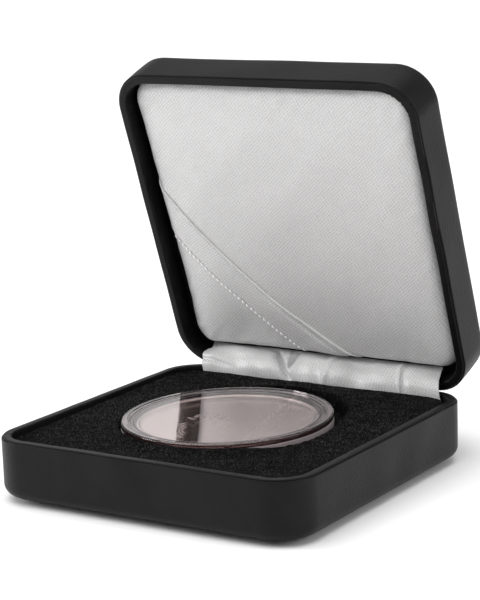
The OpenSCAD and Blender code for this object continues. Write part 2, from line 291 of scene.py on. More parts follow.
def satin():
    material, tree, shader = principled("satin", (0.62, 0.62, 0.62), 0.38,
                                        Sheen_Weight=0.12, Sheen_Roughness=0.35, Specular_IOR_Level=0.8)
    cloth = coordinates(tree, "UV", 1000.0, math.radians(-50))
    twill = texture(tree, "ShaderNodeTexWave", cloth, Scale=0.52, Distortion=3.0, Detail=2.5)
    beads = texture(tree, "ShaderNodeTexWave", coordinates(tree, "UV", 1000.0, math.radians(22)),
                    Scale=0.4, Distortion=3.5, Detail=2.5)
    slub = texture(tree, "ShaderNodeTexNoise", coordinates(tree, "UV"),
                   Scale=0.22, Detail=5.0, Roughness=0.65)
    picks = texture(tree, "ShaderNodeTexNoise", coordinates(tree, "UV"), Scale=2.2, Detail=2.0)
    weave = mixed(tree, "ADD", mixed(tree, "MULTIPLY", twill.outputs["Fac"], beads.outputs["Fac"], 0.8),
                  picks.outputs["Fac"], 1.0)
    colour = mixed(tree, "MULTIPLY",
                   ramp(tree, weave, 0.3, 1.2, (0.5, 0.495, 0.495), (0.73, 0.725, 0.725)),
                   ramp(tree, slub.outputs["Fac"], 0.3, 0.7, (0.93, 0.925, 0.925), (1, 1, 1)), 1.0)
    tree.links.new(colour, shader.inputs["Base Color"])
    tree.links.new(remap(tree, twill.outputs["Fac"], 0.30, 0.44), shader.inputs["Roughness"])
    bump(tree, shader, twill.outputs["Fac"], 0.04 * MM, 0.7)
    return material


def velour():
    material, tree, shader = principled("velour", (0.008, 0.008, 0.008), 0.95,
                                        Sheen_Weight=0.008, Sheen_Roughness=0.5, Specular_IOR_Level=0.02)
    mm = coordinates(tree)
    fibres = texture(tree, "ShaderNodeTexNoise", mm, Scale=1.8, Detail=5.0, Roughness=0.7)
    tufts = texture(tree, "ShaderNodeTexNoise", mm, Scale=0.35, Detail=4.0, Roughness=0.7)
    # Light specks in the pile's colour: painted glints of fibre tips catching light
    glint_specks = ramp(tree, fibres.outputs["Fac"], 0.5, 0.78, (0.003, 0.003, 0.003), (0.045, 0.045, 0.045))
    shade = ramp(tree, tufts.outputs["Fac"], 0.38, 0.62, (0.3, 0.3, 0.3), (1.0, 1.0, 1.0))
    tree.links.new(mixed(tree, "MULTIPLY", glint_specks, shade, 1.0), shader.inputs["Base Color"])
    pile = bump(tree, shader, tufts.outputs["Fac"], 0.3 * MM, 0.8)
    bump(tree, shader, fibres.outputs["Fac"], 0.15 * MM, 0.9, pile)
    return material


def clear_acrylic():
    material, tree, shader = principled("clear_acrylic", (0.99, 0.965, 0.97), 0.02, IOR=1.49,
                                        Transmission_Weight=1.0)
    haze = texture(tree, "ShaderNodeTexNoise", coordinates(tree), Scale=0.3, Detail=3.0)
    tree.links.new(remap(tree, haze.outputs["Fac"], 0.0, 0.05), shader.inputs["Roughness"])
    tint = tree.nodes.new("ShaderNodeVolumeAbsorption")
    tint.inputs["Color"].default_value = (0.62, 0.40, 0.42, 1)
    tint.inputs["Density"].default_value = 90.0
    tree.links.new(tint.outputs["Volume"], tree.nodes["Material Output"].inputs["Volume"])
    return material


def coin_silver():
    material, tree, shader = principled("coin_silver", (0.98, 0.88, 0.835), 0.06, Metallic=0.92)
    frost = tree.nodes.new("ShaderNodeAttribute")
    frost.attribute_name = "frost"
    grain = texture(tree, "ShaderNodeTexNoise", coordinates(tree), Scale=9.0, Detail=2.0)
    tree.links.new(remap(tree, frost.outputs["Fac"], 0.05, 0.38), shader.inputs["Roughness"])
    tree.links.new(ramp(tree, frost.outputs["Fac"], 0.0, 1.0, (0.98, 0.88, 0.835), (0.80, 0.72, 0.68)),
                   shader.inputs["Base Color"])
    bump(tree, shader, grain.outputs["Fac"], 0.003 * MM, 0.2)
    return material


def grained(name, color, roughness, scale, depth, spread=0.25, **sockets):
    """A plain material with its own fine grain: card, foam, rubber, steel, moulded plastic."""
    material, tree, shader = principled(name, color, roughness, **sockets)
    grain = texture(tree, "ShaderNodeTexNoise", coordinates(tree), Scale=scale, Detail=4.0)
    dark = tuple(c * (1 - spread) for c in color)
    light = tuple(min(1, c * (1 + spread)) for c in color)
    tree.links.new(ramp(tree, grain.outputs["Fac"], 0.3, 0.7, dark, light), shader.inputs["Base Color"])
    tree.links.new(remap(tree, grain.outputs["Fac"], roughness * 0.85, min(1, roughness * 1.15)),
                   shader.inputs["Roughness"])
    bump(tree, shader, grain.outputs["Fac"], depth, 0.6)
    return material


LEATHER = leatherette()
SATIN = satin()
VELOUR = velour()
ACRYLIC = clear_acrylic()
FROSTED = grained("frosted_acrylic", (0.41, 0.355, 0.37), 0.35, 0.8, 0.01 * MM, 0.12,
                  Transmission_Weight=0.35)
# Dark tinted acrylic for the capsule cover's outer wall: painted shade standing in for the dark band round
# its front
PAINTED_SHADE_WALL = grained("cover_edge_painted_shade", (0.03, 0.015, 0.015), 0.06, 0.8, 0.005 * MM, 0.1,
                 Transmission_Weight=0.4, IOR=1.49)
SILVER = coin_silver()
# Brighter satin for the band's free edge: a painted highlight on its fold
SELVAGE_PAINTED_HIGHLIGHT = grained("selvage_painted_highlight", (0.82, 0.82, 0.82), 0.35, 2.0, 0.01 * MM, 0.04, Sheen_Weight=0.2)
THREAD = grained("thread", (0.98, 0.98, 0.98), 0.4, 3.0, 0.02 * MM, 0.05)
# Fibre tips coloured lighter than the pile: painted glints of fibres catching light
FIBRE_PAINTED_GLINT = grained("fibre_tips_painted_glint", (0.06, 0.06, 0.06), 0.8, 1.5, 0.01 * MM, 0.6, Specular_IOR_Level=0.2)
STEEL = grained("hinge_steel", (0.55, 0.55, 0.56), 0.3, 2.0, 0.01 * MM, 0.15, Metallic=1.0)
SPRING = grained("spring_steel", (0.35, 0.35, 0.37), 0.28, 2.0, 0.01 * MM, 0.15, Metallic=1.0)
MOULDED = grained("moulded_shell", (0.03, 0.03, 0.03), 0.6, 1.5, 0.02 * MM)
CARD = grained("box_board", (0.42, 0.34, 0.25), 0.85, 1.2, 0.05 * MM)
FOAM = grained("foam", (0.75, 0.75, 0.73), 0.9, 2.5, 0.15 * MM, 0.12)
RUBBER = grained("foot_rubber", (0.02, 0.02, 0.02), 0.75, 2.5, 0.03 * MM)
LINING = grained("lining_paper", (0.014, 0.014, 0.015), 0.85, 3.0, 0.06 * MM, 0.4)

CAD_MATERIALS = {
    "base_shell": MOULDED, "lid_shell": MOULDED, "insert_block": FOAM, "insert_card": CARD,
    "pad_card": CARD, "base_panel": LINING, "snap_spring": SPRING,
    "base_rivets": STEEL, "lid_rivets": STEEL,
    "hinge_left_base_leaf": STEEL, "hinge_right_base_leaf": STEEL,
    "hinge_left_lid_leaf": STEEL, "hinge_right_lid_leaf": STEEL,
    "hinge_left_pin": STEEL, "hinge_right_pin": STEEL,
    "foot_front_left": RUBBER, "foot_front_right": RUBBER,
    "foot_back_left": RUBBER, "foot_back_right": RUBBER,
}


def finish_cad_nodes():
    for node, material in CAD_MATERIALS.items():
        obj = frame["nodes"][node]
        obj.data.materials.clear()
        obj.data.materials.append(material)


def bow_spring():
    """A copy of the spring's mesh, shown in place of its node."""
    node = frame["nodes"]["snap_spring"]
    mesh = node.data.copy()
    mesh.transform(node.matrix_world)
    obj = bpy.data.objects.new("bow_spring", mesh)
    bpy.context.scene.collection.objects.link(obj)
    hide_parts("snap_spring")
    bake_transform(obj)


# ---------- camera ----------
def photo_camera():
    """Stands in front and to the right of the case, looking slightly down, with a long lens."""
    azimuth, elevation, roll = math.radians(32.75), math.radians(11.83), math.radians(-1.94)
    distance = 556.0 * MM
    target = Vector((-52.2 * MM, CASE_Y + 85.3 * MM, UNDER_Z + 18.35 * MM))
    back = Vector((math.sin(azimuth) * math.cos(elevation),
                   -math.cos(azimuth) * math.cos(elevation),
                   math.sin(elevation)))
    right = (-back).cross(Vector((0, 0, 1))).normalized()
    up = right.cross(-back)
    turned_right = right * math.cos(roll) + up * math.sin(roll)
    turned_up = up * math.cos(roll) - right * math.sin(roll)
    camera = bpy.data.objects.new("camera", bpy.data.cameras.new("camera"))
    bpy.context.scene.collection.objects.link(camera)
    axes = Matrix((turned_right, turned_up, back)).transposed()
    camera.matrix_world = Matrix.Translation(target + back * distance) @ axes.to_4x4()
    camera.data.sensor_fit = "VERTICAL"
    camera.data.sensor_height = 24
    camera.data.lens = 82.97
    camera.data.clip_start = 0.01
    camera.data.clip_end = 20
    bpy.context.scene.camera = camera


def area_light(name, place, aim, size, power):
    light = bpy.data.lights.new(name, "AREA")
    light.shape = "DISK"
    light.size = size
    light.energy = power
    obj = bpy.data.objects.new(name, light)
    bpy.context.scene.collection.objects.link(obj)
    obj.location = place
    obj.rotation_euler = (Vector(aim) - Vector(place)).to_track_quat("-Z", "Y").to_euler()
    return obj


def studio():
    """White surroundings, a soft overhead light, three large soft lights and a pale paper floor."""
    scene = bpy.context.scene
    scene.view_settings.view_transform = "Standard"
    world = bpy.data.worlds.new("studio")
    scene.world = world
    world.use_nodes = True
    world.node_tree.nodes["Background"].inputs["Color"].default_value = (1, 1, 1, 1)
    world.node_tree.nodes["Background"].inputs["Strength"].default_value = 0.42
    overhead = bpy.data.lights.new("overhead", "SUN")
    overhead.energy = 2.6
    overhead.angle = math.radians(70)
    top = bpy.data.objects.new("overhead", overhead)
    bpy.context.scene.collection.objects.link(top)
    top.rotation_euler = (math.radians(8), math.radians(-6), 0)
    area_light("front", (-0.55, -0.3, 0.25), (0, 0, 0.05), 0.25, 1.9)
    area_light("side", (0.9, 0.15, 0.45), (0, 0, 0.04), 0.5, 2.5)
    area_light("back", (-0.8, 1.2, 0.35), (0, 0, 0.03), 1.0, 0.9).visible_camera = False
    floor_material = grained("floor_paper", (0.92, 0.92, 0.92), 0.9, 0.02, 0.01 * MM, 0.01)
    side = 3.0
    points = [(-side, -side, 0), (side, -side, 0), (side, side, 0), (-side, side, 0)]
    floor = add_piece("floor", points, [(0, 1, 2, 3)], floor_material)


# ---------- leatherette covers ----------
def cover_profile(height, lap_end):
    """Outer face of the covering in (u, z): u is measured from the corner's centre.

    The covering is tucked into a narrow crease along the rim's outer edge.
    """
    r, inner = CORNER_R, CORNER_R - RIM_W
    outside = [(lap_end, 0.0), ((lap_end + r - EDGE_R) / 2, 0.0)]
    outside += arc(r - EDGE_R, EDGE_R, EDGE_R, -90, 0, 9)
    outside += [(r, z) for z in np.linspace(EDGE_R + 1.2 * MM, height - 1.2 * MM, 6)]
    outside += arc(r - BEAD_R, height - BEAD_IN, BEAD_R, 0, 50, 6)
    outside += [(r - CREASE[0], height - CREASE[1]), (r - CREASE[1], height - CREASE[0])]
    outside += arc(r - BEAD_IN, height - BEAD_R, BEAD_R, 35, 90, 6)
    outside += arc(inner + RIM_IN_R, height - RIM_IN_R, RIM_IN_R, 90, 180, 5)
    outside += [(inner, z) for z in np.linspace(height - 1.0 * MM, height - HEM_H, 5)]
    return outside


def cover_inside(height, lap_end):
    """Back of the covering, from the turned-in hem round to the lap."""
    r, inner, t = CORNER_R, CORNER_R - RIM_W + WRAP_T, WRAP_T
    inside = [(inner, height - HEM_H), (inner, height - t)]
    inside += arc(r - RIM_R, height - RIM_R, RIM_R - t, 90, 0, 4)
    inside += [(r - t, height / 2)]
    inside += arc(r - EDGE_R, EDGE_R, EDGE_R - t, 0, -90, 5)
    inside += [(lap_end, t)]
    return inside


def cover_rings(height, lap_end, seed):
    """Rings of the covering round the case, with soft unevenness and pleats in the rim's corners."""
    inner, normals = rounded_path(CASE_W, CASE_W, CORNER_R, 1.6 * MM, 22)
    turn = np.degrees(np.arctan2(normals[:, 1], normals[:, 0]))
    in_corner = np.abs(np.sin(np.radians(2 * turn)))
    rng = np.random.default_rng(seed)
    phase = rng.uniform(0, 360)
    pleat = in_corner * (0.6 * np.cos(np.radians(turn * 30 + phase)) + 0.4 * np.cos(np.radians(turn * 47)))
    outer = cover_profile(height, lap_end)
    rings = []
    for k, (u, z) in enumerate(outer + cover_inside(height, lap_end)):
        flat = inner + normals * u
        points = np.column_stack([flat, np.full(len(flat), z)])
        if k < len(outer):
            wave = random_waves(points, 16 * MM, seed) * 0.05 * MM
            near_rim = smooth_step(z, height - 2.5 * MM, height - 0.5 * MM)
            on_hem = smooth_step(u, CORNER_R - 0.7 * MM, CORNER_R - RIM_W + 0.2 * MM)
            push = wave * smooth_step(z, 0, EDGE_R) + pleat * 0.16 * MM * near_rim * on_hem
            points[:, :2] += normals * push[:, None]
            points[:, 2] -= np.abs(pleat) * 0.10 * MM * near_rim * on_hem
        rings.append(points)
    return rings


def cut_barrel_slots(obj, body):
    """Cuts the two openings for the hinge barrels out of a covering's back rim."""
    for side in ("left", "right"):
        low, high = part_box(f"hinge_{side}_pin")
        size = Vector((high.x - low.x + 0.6 * MM, 8 * MM, 2 * HINGE_SLOT))
        middle = Vector(((low.x + high.x) / 2, HINGE_Y - HINGE_SLOT + size.y / 2, HINGE_Z))
        corners = np.array([[x, y, z] for z in (-0.5, 0.5) for y in (-0.5, 0.5) for x in (-0.5, 0.5)])
        points = corners * np.array(size) + np.array(middle)
        if body == "lid":
            points = opened(points)
        faces = [(0, 2, 3, 1), (4, 5, 7, 6), (0, 1, 5, 4), (2, 6, 7, 3), (0, 4, 6, 2), (1, 3, 7, 5)]
        cutter = add_piece("cutter", points, faces, LEATHER)
        modifier = obj.modifiers.new("slot", "BOOLEAN")
        modifier.operation = "DIFFERENCE"
        modifier.solver = "EXACT"
        modifier.object = cutter
        bpy.context.view_layer.objects.active = obj
        bpy.ops.object.modifier_apply(modifier=modifier.name)
        bpy.data.objects.remove(cutter)


def base_covering():
    """One closed skin: up the walls, over the rim and down inside, and turned under the base."""
    rings = cover_rings(RIM_Z - UNDER_Z, CORNER_R - UNDERLAP, 3)
    points = np.array(rings) + np.array([0, CASE_Y, UNDER_Z])
    obj = add_piece("base_covering", points, stack(rings, loop=True), LEATHER)
    cut_barrel_slots(obj, "case_base")
    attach(obj, "case_base")
    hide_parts("base_wrap")


def lid_covering():
    """The lid's covering is the same construction turned over, and closed over its top."""
    low, high = shut_box("lid_wrap")
    top_face_end = CORNER_R * 0.55
    rings = cover_rings(high.z - low.z, top_face_end, 8)
    top_face = [rings[0] * [share, share, 0] for share in (0.04, 0.2, 0.4, 0.6, 0.8)]
    top_lining = [rings[-1] * [share, share, 1] for share in (0.8, 0.4, 0.04)]
    rings = top_face + rings + top_lining
    points = np.array(rings)
    points[..., 2] = high.z - points[..., 2]
    points[..., 1] += CASE_Y
    faces = [f[::-1] for f in stack(rings, cap_first=True, cap_last=True)]
    obj = add_piece("lid_covering", opened(points), faces, LEATHER)
    cut_barrel_slots(obj, "lid")
    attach(obj, "lid")
    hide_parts("lid_wrap")


# ---------- velour insert ----------
RECESS_R = 23.95 * MM
NOTCH_R = 21.0 * MM
NOTCH_SHIFT = 11.1 * MM
cover_low, cover_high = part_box("velour_cover")
capsule_low, capsule_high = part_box("capsule_base")
RECESS_Y = (capsule_low.y + capsule_high.y) / 2
RECESS_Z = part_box("recess_pad")[1].z
VELOUR_Z = cover_high.z
PIVOT_Y = RECESS_Y + 4 * MM
SETTLE_SLOPE = (0.0119, 0.0152)


def settle(points):
    """The capsule sits in the soft recess a little lower at the front left than at the back right."""
    p = np.array(points, float)
    p[..., 2] += SETTLE_SLOPE[0] * p[..., 0] + SETTLE_SLOPE[1] * (p[..., 1] - RECESS_Y)
    return p


def circle_reach(angles, centre_y, radius):
    """Distance from the pivot to a circle round (0, centre_y), along each angle."""
    dy = PIVOT_Y - centre_y
    along = np.sin(angles) * dy
    return -along + np.sqrt(along ** 2 - dy ** 2 + radius ** 2)


def recess_outline(angles):
    """Distance from the pivot to the wall of the recess and its thumb notch, along each angle."""
    main = circle_reach(angles, RECESS_Y, RECESS_R)
    notch = circle_reach(angles, RECESS_Y + NOTCH_SHIFT, NOTCH_R)
    sharp = np.maximum(main, notch)
    softness = 0.8 * MM
    return sharp + softness * np.exp(-np.abs(main - notch) / softness) * 0.5


def insert_outline(angles):
    """Distance from the pivot to the insert's rounded square, along each angle."""
    w, d = (cover_high.x - cover_low.x) / 2, (cover_high.y - cover_low.y) / 2
    r = CORNER_R - RIM_W - 0.2 * MM
    cy = (cover_low.y + cover_high.y) / 2 - PIVOT_Y
    low, high = np.zeros(len(angles)), np.full(len(angles), 0.2)
    for _ in range(40):
        mid = (low + high) / 2
        x, y = mid * np.cos(angles), mid * np.sin(angles) - cy
        qx, qy = np.abs(x) - (w - r), np.abs(y) - (d - r)
        distance = np.hypot(np.maximum(qx, 0), np.maximum(qy, 0)) + np.minimum(np.maximum(qx, qy), 0) - r
        low, high = np.where(distance < 0, mid, low), np.where(distance < 0, high, mid)
    return low


def at_angle(angles, reach, z):
    """A ring of points at the given distances from the pivot, at height z."""
    z = np.broadcast_to(z, len(angles))
    return np.column_stack([reach * np.cos(angles), PIVOT_Y + reach * np.sin(angles), z])


def velour_tilt(points, hole, reach):
    """The cloth lies lower at the front left than at the back, and is pushed up round the capsule's front."""
    x = points[:, 0] / CASE_W
    y = (points[:, 1] - CASE_Y) / CASE_W
    facing = (RECESS_Y - points[:, 1]) / np.hypot(points[:, 0], points[:, 1] - RECESS_Y)
    swell = 0.4 + 1.15 * smooth_step(facing, 0.45, 0.95)
    beside = np.exp(-np.maximum(reach - hole, 0) / (3 * MM)) * swell * smooth_step(-y, -0.2, 0.1)
    return (0.25 * x + 0.9 * y - 0.05 + beside) * MM


def velour_insert():
    """Cloth from behind the rim, over the card and down into the recess, with a short uneven pile."""
    count = 620
    rows = 80
    angles = np.linspace(0, 2 * math.pi, count, endpoint=False)
    hole, edge = recess_outline(angles), insert_outline(angles)
    roll = 0.6 * MM
    rings = [at_angle(angles, edge, VELOUR_Z - drop) for drop in (3.5 * MM, 2.2 * MM, roll)]
    rings += [at_angle(angles, edge - roll * (1 - math.cos(a)), VELOUR_Z - roll * (1 - math.sin(a)))
              for a in np.radians((30, 60, 90))]
    top_first = len(rings)
    for t in np.linspace(0, 1, rows)[1:-1]:
        reach = (edge - roll) * (1 - t) + (hole + roll) * t
        rings.append(at_angle(angles, reach, VELOUR_Z))
    top_last = len(rings)
    rings += [at_angle(angles, hole + roll * (1 - math.sin(a)), VELOUR_Z - roll * (1 - math.cos(a)))
              for a in np.radians((0, 30, 60, 90))]
    rings += [at_angle(angles, hole, VELOUR_Z - drop) for drop in (1.6 * MM, 2.4 * MM, VELOUR_Z - RECESS_Z)]
    skin = 0.5 * MM
    back = [(hole + skin, RECESS_Z), (hole + skin, VELOUR_Z - roll - skin),
            (edge - skin, VELOUR_Z - roll - skin), (edge - skin, VELOUR_Z - 3.5 * MM)]
    for k, ring in enumerate(rings):
        reach = np.hypot(ring[:, 0], ring[:, 1] - PIVOT_Y)
        on_top = smooth_step(ring[:, 2], VELOUR_Z - 2.5 * MM, VELOUR_Z - 0.5 * MM)
        ring[:, 2] += velour_tilt(ring, hole, reach) * on_top
        pile = random_waves(ring, 2.2 * MM, 21, 40) * 0.035
        swell = random_waves(ring, 14 * MM, 23) * 0.07
        if k >= 3:
            ring[:, 2] += (pile + swell) * MM * (1.0 if top_first <= k < top_last + 2 else 0.5)
        spread = random_waves(ring, 1.6 * MM, 24, 30) * 0.05 * MM
        ring[:, :2] += np.column_stack([np.cos(angles), np.sin(angles)]) * spread[:, None]
    rings += [at_angle(angles, reach, z) for reach, z in back]
    faces = stack(rings, loop=True)
    obj = add_piece("velour_covering", np.array(rings), faces, VELOUR, "case_base")
    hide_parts("velour_cover")
    velour_fibres(np.array(rings[top_first:top_last]))
    recess_lining(angles, hole)


def velour_fibres(surface):
    """Loose fibre tips that stand out of the pile; their lighter colour is a painted glint of fibres catching
    light.
    """
    rng = np.random.default_rng(27)
    count = 5000
    area = np.linalg.norm(surface[:, 0, :2] - [0, PIVOT_Y], axis=1)
    row = rng.choice(len(surface), count, p=area / area.sum())
    column = rng.integers(0, surface.shape[1], count)
    foot = surface[row, column] + rng.normal(0, 0.25 * MM, (count, 3)) * [1, 1, 0]
    lean = rng.normal(0, 0.16 * MM, (count, 2))
    tall = rng.uniform(0.15, 0.5, count) * MM
    wide = rng.uniform(0.03, 0.075, count) * MM
    points, faces = [], []
    for k in range(count):
        base = foot[k] - [0, 0, 0.1 * MM]
        start = len(points)
        for turn in (0.0, 2.1, 4.2):
            points.append(base + [wide[k] * math.cos(turn), wide[k] * math.sin(turn), 0])
        points.append(foot[k] + [lean[k, 0], lean[k, 1], tall[k]])
        a, b, c, tip = range(start, start + 4)
        faces += [(a, b, tip), (b, c, tip), (c, a, tip), (c, b, a)]
    add_piece("velour_fibres", points, faces, FIBRE_PAINTED_GLINT, "case_base")


def recess_lining(angles, hole):
    """The velour pad on the recess floor, which takes the capsule's slight tilt."""
    rings = []
    for share in np.linspace(1, 0.03, 34):
        ring = settle(at_angle(angles, hole * share, RECESS_Z))
        ring[:, 2] -= (0.06 + 0.05 * np.abs(random_waves(ring, 1.3 * MM, 31, 30))) * MM
        rings.append(ring)
    rings = [at_angle(angles, hole, RECESS_Z - 0.9 * MM)] + rings
    faces = stack(rings, cap_first=True, cap_last=True)
    obj = add_piece("recess_lining", np.array(rings), faces, VELOUR, "case_base")
    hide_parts("recess_pad")


# ---------- satin pad in the lid ----------
pad_low, pad_high = shut_box("pad_satin")
PAD_R = 5.6 * MM
PAD_ROLL = 2.5 * MM
PAD_PULL = 0.75 * MM
PAD_MID_Y = (pad_low.y + pad_high.y) / 2
PAD_HALF = ((pad_high.x - pad_low.x) / 2, (pad_high.y - pad_low.y) / 2)


def pad_inset(points):
    """Distance in from the pad's outline, in plan."""
    qx = np.abs(points[..., 0]) - (PAD_HALF[0] - PAD_R)
    qy = np.abs(points[..., 1] - PAD_MID_Y) - (PAD_HALF[1] - PAD_R)
    outside = np.hypot(np.maximum(qx, 0), np.maximum(qy, 0)) + np.minimum(np.maximum(qx, qy), 0)
    return PAD_R - outside


def pad_depth(points):
    """How far the satin lies behind the pad's face plane: rolled edges, a soft crown and small puckers."""
    inset = np.maximum(pad_inset(points), 0)
    edge = np.clip(1 - inset / PAD_ROLL, 0, 1)
    rolled = PAD_ROLL * (1 - np.sqrt(np.maximum(1 - edge ** 2, 0)))
    from_left = np.clip(1 - (points[..., 0] + PAD_HALF[0]) / (6 * MM), 0, 1)
    left = (1 - np.sqrt(1 - from_left ** 2)) * smooth_step(points[..., 1], -14 * MM, 16 * MM)
    crown = 0.75 * MM * np.exp(-inset / (6 * MM)) + 2.0 * MM * left
    swell = random_waves(points[..., :2], 24 * MM, 41) * 0.08 * MM * smooth_step(inset, 2 * MM, 10 * MM)
    hollow = 0.75 * MM * np.exp(-((points[..., 0] + 19 * MM) / (6 * MM)) ** 2
                                - ((points[..., 1] - PAD_MID_Y - 29.5 * MM) / (4 * MM)) ** 2)
    near_edge = np.exp(-((inset - 3 * MM) / (2.6 * MM)) ** 2)
    puckers = random_waves(points[..., :2], 5 * MM, 42) * 0.05 * MM * near_edge
    return rolled + crown + swell + hollow + puckers


def pulled_in(x, y):
    """The cushion's straight edges are drawn in a little between its corners."""
    across, along = x / PAD_HALF[0], (y - PAD_MID_Y) / PAD_HALF[1]
    side_pull = PAD_PULL * np.maximum(1 - along ** 2, 0)
    end_pull = 0.4 * PAD_PULL * np.maximum(1 - across ** 2, 0)
    side_pull = side_pull + random_waves(y[..., None], 9 * MM, 43) * 0.05 * MM
    end_pull = end_pull + random_waves(x[..., None], 9 * MM, 44) * 0.05 * MM
    return x - side_pull * across ** 5, y - end_pull * along ** 5


def on_pad(x, y, proud=0.0):
    """Points on the pad's face in the shut lid, standing proud of it towards the opening."""
    z = pad_low.z + pad_depth(np.stack([x, y], -1)) - proud
    return np.stack([*pulled_in(x, y), z], -1)


def pad_cushion():
    """The satin cushion: its back edge, the rolled edge, and the face in rings towards the middle."""
    inner, normals = rounded_path(2 * PAD_HALF[0], 2 * PAD_HALF[1], PAD_R, 0.8 * MM, 14)
    centre = np.array([0, PAD_MID_Y])
    outline = inner + normals * PAD_R + centre
    back = pad_high.z - 0.1 * MM
    rings = []
    for z in (back, (back + pad_low.z + PAD_ROLL) / 2):
        rings.append(np.column_stack([*pulled_in(*outline.T), np.full(len(outline), z)]))
    for inset in PAD_ROLL * (1 - np.cos(np.radians(np.linspace(0, 90, 9)))):
        last = outline - normals * inset
        rings.append(on_pad(*last.T))
    for share in np.linspace(1, 0.02, 46)[1:]:
        rings.append(on_pad(*(centre + (last - centre) * share).T))
    faces = stack(rings, cap_first=True, cap_last=True)
    shut_points = np.array(rings)
    obj = add_piece("lid_pad", opened(shut_points), faces, SATIN, "lid")
    set_uv(obj, shut_points.reshape(-1, 3)[:, :2])
    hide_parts("pad_satin", "pad_foam")


# ---------- certificate band across the pad's corner ----------
BAND_T = 0.3 * MM
# Share of the band's width along its free edge that gets the brighter satin, a painted highlight
HIGHLIGHT_EDGE_END = 0.05
SEAM_AT = 0.93
STITCH_PITCH = 1.32 * MM
STITCH_SHARE = 0.9
STITCH_R = 0.25 * MM


def band_point(u, v):
    """Plan position on the band: u runs from the pad's left edge to its hinge edge, v across the band."""
    left = PAD_MID_Y - PAD_HALF[1] + (25.4 + 14.1 * v) * MM
    right = (10.2 - 14.9 * v) * MM
    x = (-PAD_HALF[0] + 0.1 * MM) * (1 - u) + right * u
    y = left * (1 - u) + (PAD_MID_Y + PAD_HALF[1] - 0.3 * MM) * u
    bow = 4 * u * (1 - u) * (2.9 - 2.25 * v) * MM / math.sqrt(2)
    return x - bow, y + bow


def band_height(u, v):
    """Rise of the band over the pad: a rolled free edge, a crease behind it, a broad ridge and the seam."""
    late = smooth_step(u, 0.25, 0.9)
    roll = 0.46 * np.sqrt(np.clip(1 - ((v - 0.027) / 0.027) ** 2, 0, 1))
    body = 0.22 * smooth_step(v, 0.07, 0.095) * (1 - smooth_step(v, 0.84, 0.9))
    start = 0.12 + 0.12 * late
    ridge = smooth_step(v, start - 0.05, start + 0.04) * (1 - smooth_step(v, start + 0.16, start + 0.34))
    small = 0.03 * np.sin(46 * v + 5 * u) * smooth_step(u, 0.4, 1.0)
    sewn = -0.06 * np.exp(-((v - SEAM_AT) / 0.035) ** 2)
    return (0.04 + roll + body + 0.5 * ridge * late + small * late + sewn) * MM


def certificate_band():
    """The satin band across the pad's corner, with its seam, and its free edge coloured brighter as a painted
    highlight on the fold.
    """
    us = np.linspace(0, 1, 130)
    vs = np.concatenate([np.linspace(0, 0.15, 24), np.linspace(0.16, 1, 56)])
    highlight_rows = int(np.searchsorted(vs, HIGHLIGHT_EDGE_END))
    u, v = np.meshgrid(us, vs, indexing="ij")
    x, y = band_point(u, v)
    points, faces = sheet_mesh(opened(on_pad(x, y, band_height(u, v))), BAND_T)
    obj = add_piece("certificate_band", points, faces, SATIN, "lid")
    turn = math.radians(9)
    along = x * math.cos(turn) + y * math.sin(turn)
    across = y * math.cos(turn) - x * math.sin(turn)
    uv = np.stack([along, across], -1).reshape(-1, 2)
    set_uv(obj, np.concatenate([uv, uv]))
    # The faces along the free edge get the brighter satin: a painted highlight on the fold
    obj.data.materials.append(SELVAGE_PAINTED_HIGHLIGHT)
    for face in obj.data.polygons:
        if max(face.vertices) < len(points) // 2 and max(face.vertices) % len(vs) <= highlight_rows:
            face.material_index = 1
    stitches = band_stitching()
    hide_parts("corner_band")


def stitch_mesh(start, end, normal, radius):
    """One sewn stitch: a short thread that rises between its two needle holes."""
    start, end, normal = np.array(start), np.array(end), np.array(normal)
    side = np.cross(end - start, normal)
    side /= np.linalg.norm(side)
    rings = []
    for t in np.linspace(0, 1, 7):
        middle = start + (end - start) * t + normal * radius * 1.3 * math.sin(math.pi * t)
        wide = radius * (0.35 + 0.65 * math.sin(math.pi * t) ** 0.6)
        rings.append(np.array([middle + wide * (side * math.cos(a) + normal * math.sin(a))
                               for a in np.linspace(0, 2 * math.pi, 8, endpoint=False)]))
    return rings


def band_stitching():
    """A row of stitches along the band's seam."""
    points, faces = [], []
    us = np.linspace(0.05, 0.985, 400)
    x, y = band_point(us, SEAM_AT)
    line = opened(on_pad(x, y, band_height(us, SEAM_AT) - 0.04 * MM))
    lengths = np.concatenate([[0], np.cumsum(np.linalg.norm(np.diff(line, axis=0), axis=1))])
    outward = opened(np.array([[0, 0, -1.0]]))[0] - opened(np.array([[0, 0, 0.0]]))[0]
    for i in range(int(lengths[-1] / STITCH_PITCH)):
        ends = [np.array([np.interp(s * STITCH_PITCH, lengths, line[:, k]) for k in range(3)])
                for s in (i, i + STITCH_SHARE)]
        rings = stitch_mesh(*ends, outward, STITCH_R)
        faces += stack(rings, cap_first=True, cap_last=True, first=len(points))
        points += [p for ring in rings for p in ring]
    return add_piece("band_stitching", np.array(points), faces, THREAD, "lid")


# ---------- satin strip over the hinge ----------
STRIP_T = 0.3 * MM


